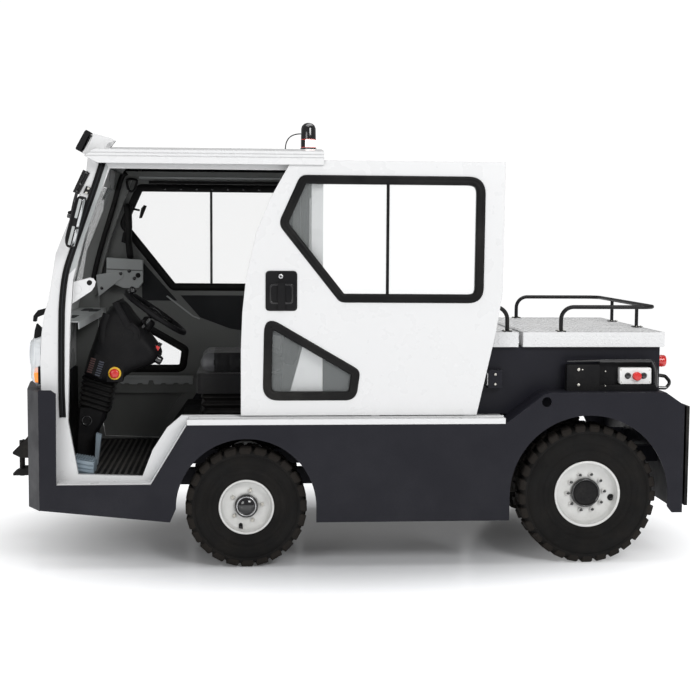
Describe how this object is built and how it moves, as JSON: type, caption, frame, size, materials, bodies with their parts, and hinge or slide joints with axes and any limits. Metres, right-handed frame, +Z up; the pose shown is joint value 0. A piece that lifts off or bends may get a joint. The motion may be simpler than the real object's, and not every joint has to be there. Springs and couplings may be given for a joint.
{
  "type": "airport baggage tug",
  "caption": "Four-wheel airport baggage tug with a white sliding-door cab, dark skirts, railed tread-plate rear decks and a tow coupling at each end.",
  "frame": {"origin": "on the ground under the middle of the vehicle, midway between the coupling tips", "axes": "+X forward, +Y to the vehicle's left, +Z up"},
  "size_m": [3.447, 1.7, 2.176],
  "materials": {
    "white_paint": "smooth white coach enamel",
    "dark_paint": "satin anthracite blue-grey paint",
    "black_paint": "satin black powder coat",
    "axle_paint": "black chassis paint",
    "rim_paint": "off-white wheel enamel",
    "tyre": "black industrial tyre rubber",
    "rubber": "black extruded rubber",
    "glass": "clear safety glass",
    "black_plastic": "grained black moulding",
    "grey_floor": "dark floor plate with ribbed mat",
    "seat_vinyl": "black grained vinyl",
    "battery_case": "dark battery tray",
    "cast": "dark painted casting",
    "coupling_steel": "black forged steel",
    "lamp_lens": "clear headlamp lens",
    "red_lens": "red lamp lens",
    "beacon_cap": "black beacon cap over a red lens",
    "control_white": "white switch box",
    "pedal_rubber": "blue-grey ribbed pad"
  },
  "bodies": {
    "body": {"battery": "battery_case", "beacon": "beacon_cap", "beacon_cable": "rubber", "cab_glass": "glass", "cab_sides": "white_paint", "chassis_frame": "dark_paint", "control_box": "control_white", "control_bracket": "black_paint", "dash_pod": "black_plastic", "drive_motor": "cast", "floor_pan": "grey_floor", "front_axle": "axle_paint", "front_bumper": "dark_paint", "front_coupling": "coupling_steel", "front_cowl": "white_paint", "front_deck": "white_paint", "front_deck_rails": "black_paint", "headlamps": "lamp_lens", "mirrors": "black_plastic", "pedals": "pedal_rubber", "rear_axle": "axle_paint", "rear_body": "dark_paint", "rear_bumper": "rubber", "rear_coupling": "coupling_steel", "rear_lamps": "red_lens", "rear_wall": "white_paint", "roof": "white_paint", "seat_back": "seat_vinyl", "seat_base": "black_plastic", "seat_cushion": "seat_vinyl", "side_plates": "dark_paint", "work_lights": "black_plastic"},
    "knuckle_left": {"knuckle_left": "axle_paint"},
    "knuckle_right": {"knuckle_right": "axle_paint"},
    "tie_rod": {"tie_rod": "axle_paint"},
    "steering_wheel": {"steering_wheel": "black_plastic"},
    "rear_deck": {"rear_deck": "white_paint", "rear_deck_rail": "black_paint"},
    "wheel_front_left": {"tyre_front_left": "tyre", "rim_front_left": "rim_paint"},
    "wheel_front_right": {"tyre_front_right": "tyre", "rim_front_right": "rim_paint"},
    "wheel_rear_left": {"tyre_rear_left": "tyre", "rim_rear_left": "rim_paint"},
    "wheel_rear_right": {"tyre_rear_right": "tyre", "rim_rear_right": "rim_paint"},
    "door_left": {"door_left": "white_paint", "door_glass_left": "glass", "door_trim_left": "rubber"},
    "door_right": {"door_right": "white_paint", "door_glass_right": "glass", "door_trim_right": "rubber"}
  },
  "joints": [
    {"name": "steering_wheel_turn", "type": "hinge", "parent": "body", "child": "steering_wheel", "pos_m": [0.9785, 0.18, 1.195], "axis": [-0.5736, 0, 0.8192], "range_deg": [-540, 540]},
    {"name": "steer_left", "type": "hinge", "parent": "body", "child": "knuckle_left", "pos_m": [0.5165, 0.52, 0.292], "axis": [0, 0, 1], "range_deg": [-35.5, 35.5]},
    {"name": "steer_right", "type": "hinge", "parent": "body", "child": "knuckle_right", "pos_m": [0.5165, -0.52, 0.292], "axis": [0, 0, 1], "range_deg": [-35.5, 35.5]},
    {"name": "tie_rod_swing", "type": "hinge", "parent": "knuckle_left", "child": "tie_rod", "pos_m": [0.3865, 0.52, 0.262], "axis": [0, 0, 1], "range_deg": [-35.5, 35.5]},
    {"name": "door_left_slide", "type": "slide", "parent": "body", "child": "door_left", "axis": [1, 0, 0], "range_m": [0, 0.87]},
    {"name": "door_right_slide", "type": "slide", "parent": "body", "child": "door_right", "axis": [1, 0, 0], "range_m": [-0.87, 0]},
    {"name": "rear_deck_lift", "type": "hinge", "parent": "body", "child": "rear_deck", "pos_m": [-0.823, 0, 1.132], "axis": [0, 1, 0], "range_deg": [0, 60]},
    {"name": "roll_front_left", "type": "hinge", "parent": "knuckle_left", "child": "wheel_front_left", "pos_m": [0.5165, 0.625, 0.292], "axis": [0, 1, 0], "continuous": true},
    {"name": "roll_front_right", "type": "hinge", "parent": "knuckle_right", "child": "wheel_front_right", "pos_m": [0.5165, -0.625, 0.292], "axis": [0, 1, 0], "continuous": true},
    {"name": "roll_rear_left", "type": "hinge", "parent": "body", "child": "wheel_rear_left", "pos_m": [-1.1435, 0.613, 0.341], "axis": [0, 1, 0], "continuous": true},
    {"name": "roll_rear_right", "type": "hinge", "parent": "body", "child": "wheel_rear_right", "pos_m": [-1.1435, -0.613, 0.341], "axis": [0, 1, 0], "continuous": true}
  ],
  "couplings": [
    {"joint": "steer_left", "follows": "steering_wheel_turn", "ratio": 0.06481},
    {"joint": "steer_right", "follows": "steering_wheel_turn", "ratio": 0.06481},
    {"joint": "tie_rod_swing", "follows": "steering_wheel_turn", "ratio": -0.06481}
  ]
}
